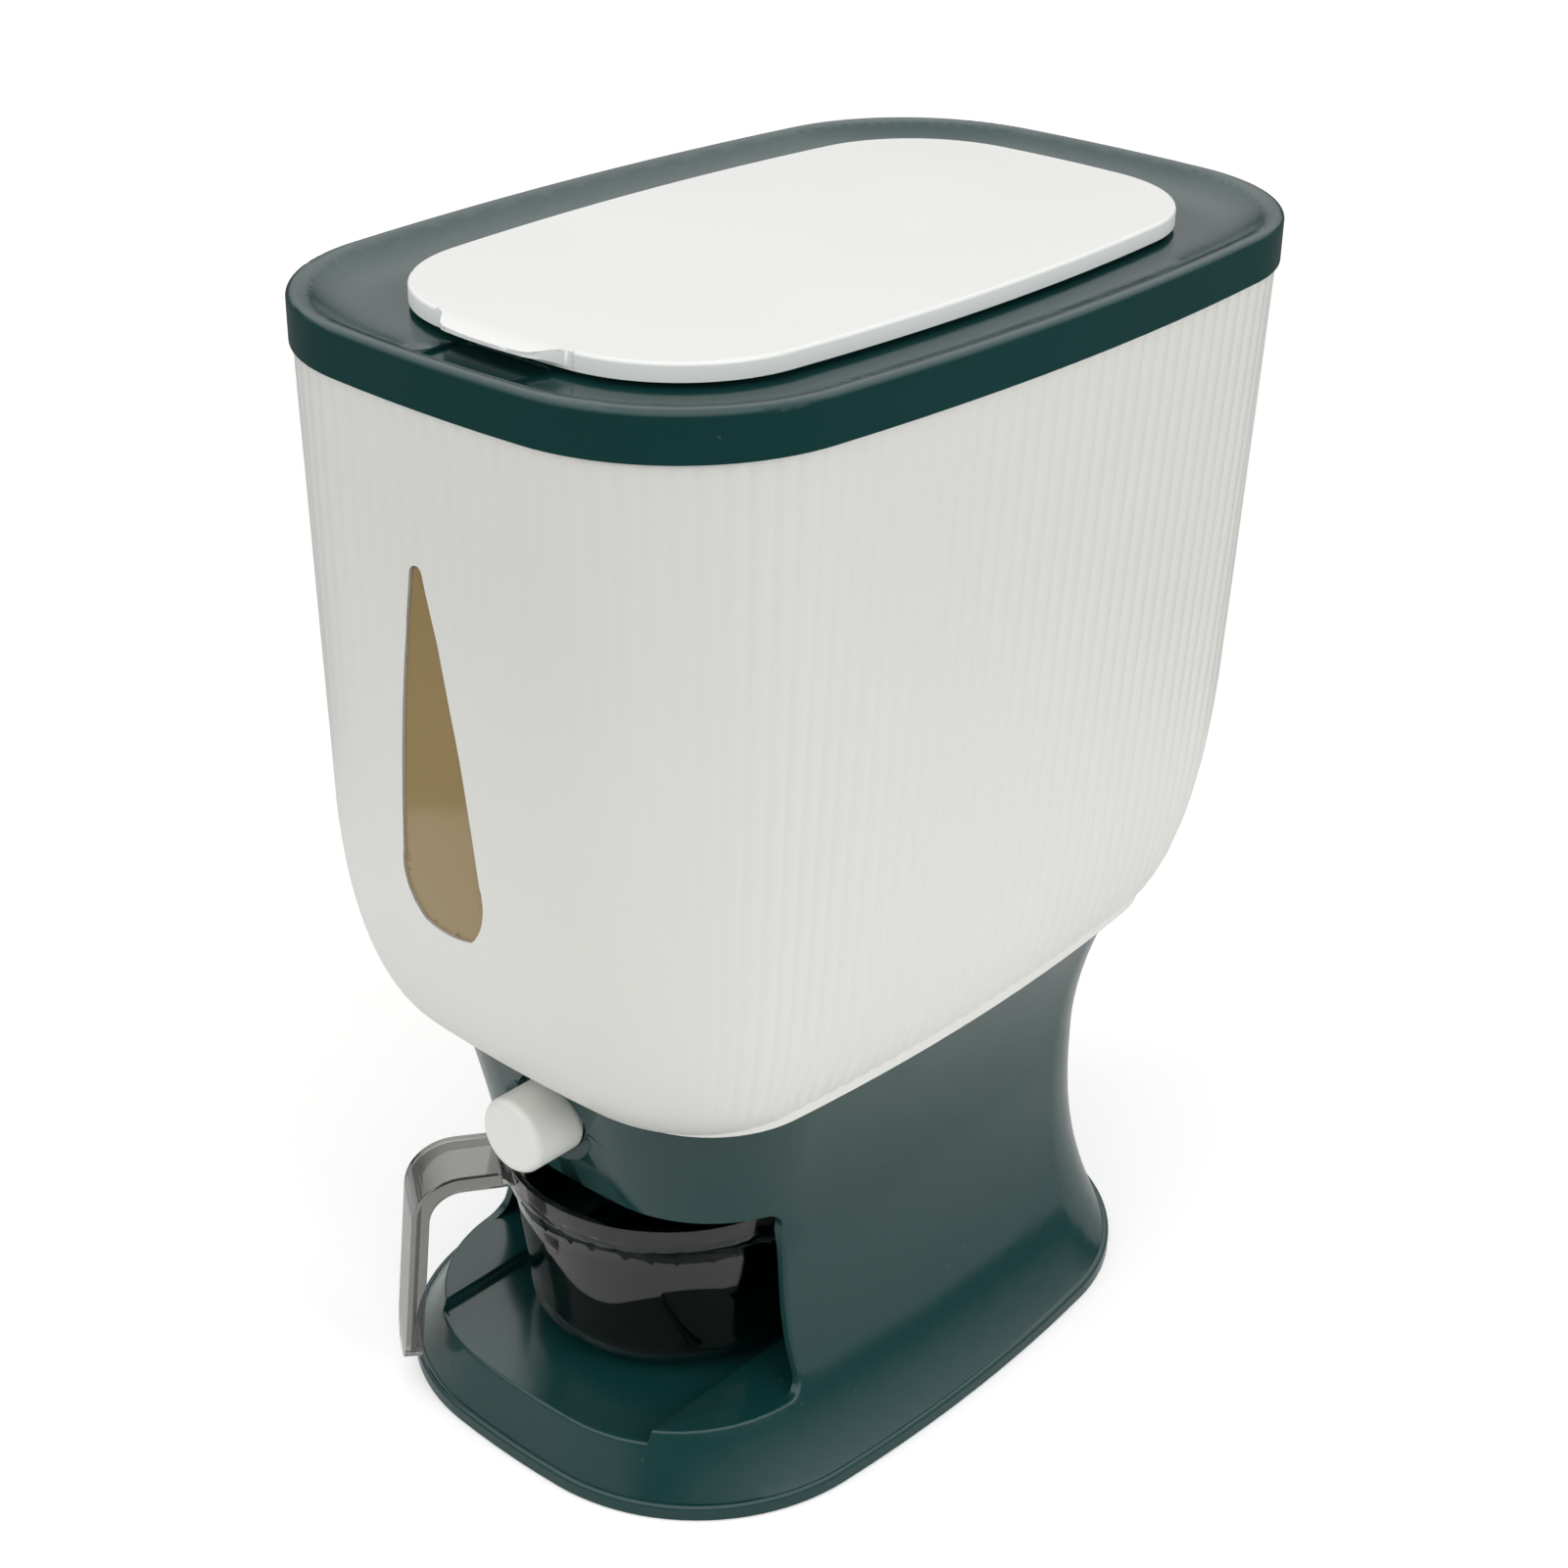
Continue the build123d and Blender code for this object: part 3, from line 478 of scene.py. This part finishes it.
# %% Teardrop's wall
sideways_limit = 0.5
window_low, window_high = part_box("sight_window")
cutter = bpy.data.objects.new("window_cutter", looks["hopper_tub"].data.copy())
scene.collection.objects.link(cutter)
only(cutter)
bpy.ops.object.mode_set(mode="EDIT")
bpy.ops.mesh.select_mode(type="FACE")
bpy.ops.mesh.select_all(action="DESELECT")
bpy.ops.object.mode_set(mode="OBJECT")
for face in cutter.data.polygons:
    inside = all(window_low[axis] < face.center[axis] < window_high[axis] for axis in (0, 2))
    face.select = not (inside and face.center.y < window_high[1] and abs(face.normal.y) < sideways_limit)
bpy.ops.object.mode_set(mode="EDIT")
bpy.ops.mesh.delete(type="FACE")
bpy.ops.object.mode_set(mode="OBJECT")
print("teardrop's wall of", len(cutter.data.polygons), "faces")

# %% [markdown]
# A second copy of this wall is closed at its front. The cap later keeps the skin from sinking into the window.
# A point is on the front when it lies less than half the wall's thickness behind the tub's outer side.
# The outer side is measured on the back, which has no window and mirrors the front.

# %% Cap
half_wall = 0.0013


def on_front(point):
    """Whether a point of the teardrop's wall lies on the tub's outer side."""
    outer = looks["hopper_tub"].ray_cast(Vector((0.0, 1.0, point.z)), Vector((0.0, -1.0, 0.0)))[1].y
    return point.y < half_wall - outer


only(cutter)
bpy.ops.object.duplicate()
cap = bpy.context.object
select_edges(cap, lambda start, end: on_front(start) and on_front(end))
bpy.ops.object.mode_set(mode="EDIT")
bpy.ops.mesh.select_mode(type="EDGE")
bpy.ops.mesh.edge_face_add()
bpy.ops.mesh.quads_convert_to_tris(ngon_method="BEAUTY")
bpy.ops.object.mode_set(mode="OBJECT")
print("cap of", len(cap.data.polygons), "faces")

# %% [markdown]
# The first copy is drawn out to the front and to the back, flattened there and closed.
# With its faces turned outwards it is a solid that can cut.

# %% Window cutter
cutter_reach = 0.004
only(cutter)
for side, reach in ((True, -cutter_reach), (False, cutter_reach)):
    select_edges(cutter, lambda start, end: on_front(start) == side and on_front(end) == side)
    bpy.ops.object.mode_set(mode="EDIT")
    bpy.ops.mesh.select_mode(type="EDGE")
    bpy.ops.mesh.extrude_edges_move(TRANSFORM_OT_translate={"value": (0.0, reach, 0.0)})
    bpy.ops.transform.resize(value=(1.0, 0.0, 1.0))
    bpy.ops.mesh.edge_face_add()
    bpy.ops.object.mode_set(mode="OBJECT")
bpy.ops.object.mode_set(mode="EDIT")
turn_outwards()
print("cutter of", len(cutter.data.polygons), "faces", [round(v, 4) for v in cutter.dimensions])

# %% [markdown]
# The ring is extruded straight down, row by row, into a curtain that hangs clear of the tub.
# The rows are closer where the tub rounds in below.

# %% Curtain
round_top = 0.250
wall_rows = 8
round_rows = 22
levels = [flute_top + (round_top - flute_top) * row / wall_rows for row in range(wall_rows + 1)]
for row in range(1, round_rows + 1):
    levels.append(round_top - (round_top - flute_low) * math.sin(math.pi / 2 * row / round_rows))
only(flutes)
bpy.ops.object.mode_set(mode="EDIT")
bpy.ops.mesh.select_all(action="SELECT")
for upper, lower in zip(levels, levels[1:]):
    bpy.ops.mesh.extrude_edges_move(TRANSFORM_OT_translate={"value": (0.0, 0.0, lower - upper)})
turn_outwards()
print("curtain of", len(flutes.data.polygons), "faces on", len(levels), "levels")

# %% [markdown]
# While the curtain hangs straight, the points of one column share their place seen from above.
# Each point's column round the tub is noted now, and how far the point faces the front or the back.

# %% Columns
around = {}
for vertex in flutes.data.vertices:
    around.setdefault((round(vertex.co.x, 6), round(vertex.co.y, 6)), []).append(vertex.index)
by_turn = sorted(around, key=lambda place: math.atan2(place[1], place[0]))
column_of = {index: column for column, place in enumerate(by_turn) for index in around[place]}
facing_end = [abs(vertex.normal.y) for vertex in flutes.data.vertices]
print(len(by_turn), "columns")

# %% [markdown]
# A shrinkwrap presses the curtain onto the tub along its level normals, so the rows stay level.
# The cap is part of the target, because no ray may fall through the window.

# %% Press
press_reach = 0.07
target = bpy.data.objects.new("press_target", looks["hopper_tub"].data.copy())
scene.collection.objects.link(target)
only(target)
cap.select_set(True)
bpy.ops.object.join()
only(flutes)
finish_with(
    flutes, "SHRINKWRAP", target=target, wrap_method="PROJECT",
    use_negative_direction=True, use_positive_direction=False, project_limit=press_reach,
)
bpy.data.objects.remove(target)
print("pressed to", [round(v, 4) for v in flutes.dimensions])

# %% [markdown]
# The lowest row is copied and drawn straight down: it makes the smooth strip under the flutes.
# The strip is a little shorter than the tub, so that its ends tuck in under the rounding.

# %% Strip
level_slack = 0.00001
neck_gap = 0.0003
strip_share = 0.95
strip_thick = 0.0015
strip_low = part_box("base_stand")[1][2] + neck_gap
select_edges(flutes, lambda start, end: max(start.z, end.z) < flute_low + level_slack)
bpy.ops.object.mode_set(mode="EDIT")
bpy.ops.mesh.duplicate()
bpy.ops.mesh.separate(type="SELECTED")
bpy.ops.object.mode_set(mode="OBJECT")
strip = [piece for piece in bpy.context.selected_objects if piece is not flutes][0]
strip.name = "hopper_tub_strip"
only(strip)
bpy.ops.object.mode_set(mode="EDIT")
bpy.ops.mesh.select_all(action="SELECT")
bpy.ops.transform.resize(value=(1.0, strip_share, 1.0), center_override=(0.0, 0.0, flute_low))
bpy.ops.mesh.extrude_edges_move(TRANSFORM_OT_translate={"value": (0.0, 0.0, strip_low - flute_low)})
turn_outwards()
finish_with(strip, "SOLIDIFY", thickness=strip_thick, offset=-1.0)
strip.data.materials.append(white_satin)
bpy.ops.object.shade_smooth_by_angle(angle=smooth_angle)
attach(strip, "stand")
print(strip.name, len(strip.data.polygons), "faces")

# %% [markdown]
# A vertex group holds how far each point stands out: fully on a crest, hardly in a valley.
# On the front and the back the flutes fade away downwards, as they do on the real tub.
# A displace modifier reads the group, and a solidify modifier gives the skin a back, close to the wall
# on the crests and sunk in it everywhere else.

# %% Crests and valleys
flute_high = 0.00065
valley_share = 0.08
flute_fade = 2.0
fade_from = 0.35
fade_full = 0.95
skin_back = 0.0006
first_crest = segments_per_flute // 2
only(flutes)
crests = flutes.vertex_groups.new(name="crests")
for vertex in flutes.data.vertices:
    off_crest = abs(column_of[vertex.index] % segments_per_flute - first_crest) / first_crest
    climb = (vertex.co.z - flute_low) / (flute_top - flute_low)
    end_share = (facing_end[vertex.index] - fade_from) / (fade_full - fade_from)
    depth = 1.0 - min(1.0, max(0.0, end_share)) * (1.0 - climb ** flute_fade)
    share = valley_share + (1.0 - valley_share) * depth * (1.0 - off_crest ** 2)
    crests.add([vertex.index], share, "REPLACE")
finish_with(flutes, "DISPLACE", vertex_group=crests.name, mid_level=0.0, strength=flute_high)
finish_with(flutes, "SOLIDIFY", thickness=skin_back, offset=-1.0)
print("skin with a back has", len(flutes.data.polygons), "faces")

# %% [markdown]
# The cutter now takes the teardrop out of the skin. What is left gets the tub's finish, smooth over the crests
# and sharp in the valleys, and rides on the stand like the tub itself.

# %% Window cut
only(flutes)
finish_with(flutes, "BOOLEAN", object=cutter, operation="DIFFERENCE", solver="EXACT")
bpy.data.objects.remove(cutter)
flutes.data.materials.append(white_satin)
bpy.ops.object.shade_smooth_by_angle(angle=smooth_angle)
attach(flutes, "stand")
print(flutes.name, len(flutes.data.polygons), "faces")

# %% [markdown]
# The studio starts with a pale sheet under the dispenser. The camera sees it a little brighter than it is lit,
# which makes it white and keeps the soft shadow.

# %% Floor
floor_radius = 0.62
floor_centre = (0.05, -0.05, 0.0)
floor_lift_level = 0.35
bpy.ops.object.select_all(action="DESELECT")
bpy.ops.mesh.primitive_circle_add(vertices=96, radius=floor_radius, fill_type="NGON", location=floor_centre)
floor = bpy.context.object
floor.name = "studio_floor"
floor_finish, floor_tree, floor_shader = new_finish("pale_sheet")
fill(floor_shader, {"Base Color": (0.86, 0.86, 0.85, 1.0), "Roughness": 0.8, "Specular IOR Level": 0.0})
floor_ray = add_node(floor_tree, "ShaderNodeLightPath")
floor_lift = add_node(floor_tree, "ShaderNodeEmission")
fill(floor_lift, {"Color": (1.0, 1.0, 1.0, 1.0)})
floor_strength = add_node(floor_tree, "ShaderNodeMath", operation="MULTIPLY")
fill(floor_strength, {1: floor_lift_level})
floor_sum = add_node(floor_tree, "ShaderNodeAddShader")
wire(floor_tree, floor_ray, "Is Camera Ray", floor_strength, 0)
wire(floor_tree, floor_strength, "Value", floor_lift, "Strength")
wire(floor_tree, floor_shader, "BSDF", floor_sum, 0)
wire(floor_tree, floor_lift, "Emission", floor_sum, 1)
wire(floor_tree, floor_sum, "Shader", floor_tree.nodes["Material Output"], "Surface")
floor.data.materials.append(floor_finish)
print("floor of", floor_radius, "m radius")

# %% [markdown]
# One large soft lamp hangs overhead, and two stand at the front and at the right.
# Glossy surfaces don't mirror the lamps, because their hard corners would show on the green plastic.

# %% Lamps
def soft_lamp(name, place, aim, width, height, power):
    """Large rectangular lamp that points at a place."""
    lamp_data = bpy.data.lights.new(name, "AREA")
    lamp_data.shape = "RECTANGLE"
    lamp_data.size = width
    lamp_data.size_y = height
    lamp_data.energy = power
    lamp = bpy.data.objects.new(name, lamp_data)
    lamp.location = place
    lamp.rotation_euler = (Vector(aim) - Vector(place)).to_track_quat("-Z", "Y").to_euler()
    lamp.visible_glossy = False
    scene.collection.objects.link(lamp)


soft_lamp("top_light", place=(0.15, -0.1, 1.55), aim=(0.0, 0.0, 0.25), width=1.5, height=1.5, power=4.5)
soft_lamp("front_light", place=(-0.5, -1.5, 0.75), aim=(0.0, 0.0, 0.2), width=1.2, height=1.0, power=13.0)
soft_lamp("right_light", place=(1.5, 0.1, 0.7), aim=(0.0, 0.0, 0.2), width=1.2, height=1.0, power=14.0)
print("three lamps")

# %% [markdown]
# The world is a soft gradient that gets brighter upwards. What a glossy surface mirrors has more contrast than
# what lights a matt one, and what the camera sees, straight or through clear plastic, is plain white.

# %% World
world = bpy.data.worlds.new("studio")
scene.world = world
world.use_nodes = True
sky = world.node_tree
sky_ray = add_node(sky, "ShaderNodeLightPath")
seen = add_node(sky, "ShaderNodeMath", operation="MAXIMUM")
wire(sky, sky_ray, "Is Camera Ray", seen, 0)
wire(sky, sky_ray, "Is Transmission Ray", seen, 1)
sky_place = add_node(sky, "ShaderNodeTexCoord")
sky_split = add_node(sky, "ShaderNodeSeparateXYZ")
wire(sky, sky_place, "Generated", sky_split, "Vector")
sky_height = add_node(sky, "ShaderNodeMapRange")
fill(sky_height, {"From Min": -0.15, "From Max": 0.5, "To Min": 0.12, "To Max": 0.55})
wire(sky, sky_split, "Z", sky_height, "Value")
mirrored = add_node(sky, "ShaderNodeMapRange")
fill(mirrored, {"From Min": 0.1, "From Max": 0.75, "To Min": 0.12, "To Max": 2.4})
wire(sky, sky_split, "Z", mirrored, "Value")
sky_pick = add_node(sky, "ShaderNodeMix", data_type="FLOAT")
wire(sky, sky_ray, "Is Glossy Ray", sky_pick, "Factor")
wire(sky, sky_height, "Result", sky_pick, "A")
wire(sky, mirrored, "Result", sky_pick, "B")
sky_level = add_node(sky, "ShaderNodeMath", operation="MAXIMUM")
wire(sky, seen, "Value", sky_level, 0)
wire(sky, sky_pick, "Result", sky_level, 1)
wire(sky, sky_level, "Value", sky.nodes["Background"], "Strength")
fill(sky.nodes["Background"], {"Color": (1.0, 1.0, 1.0, 1.0)})
print("studio ready")
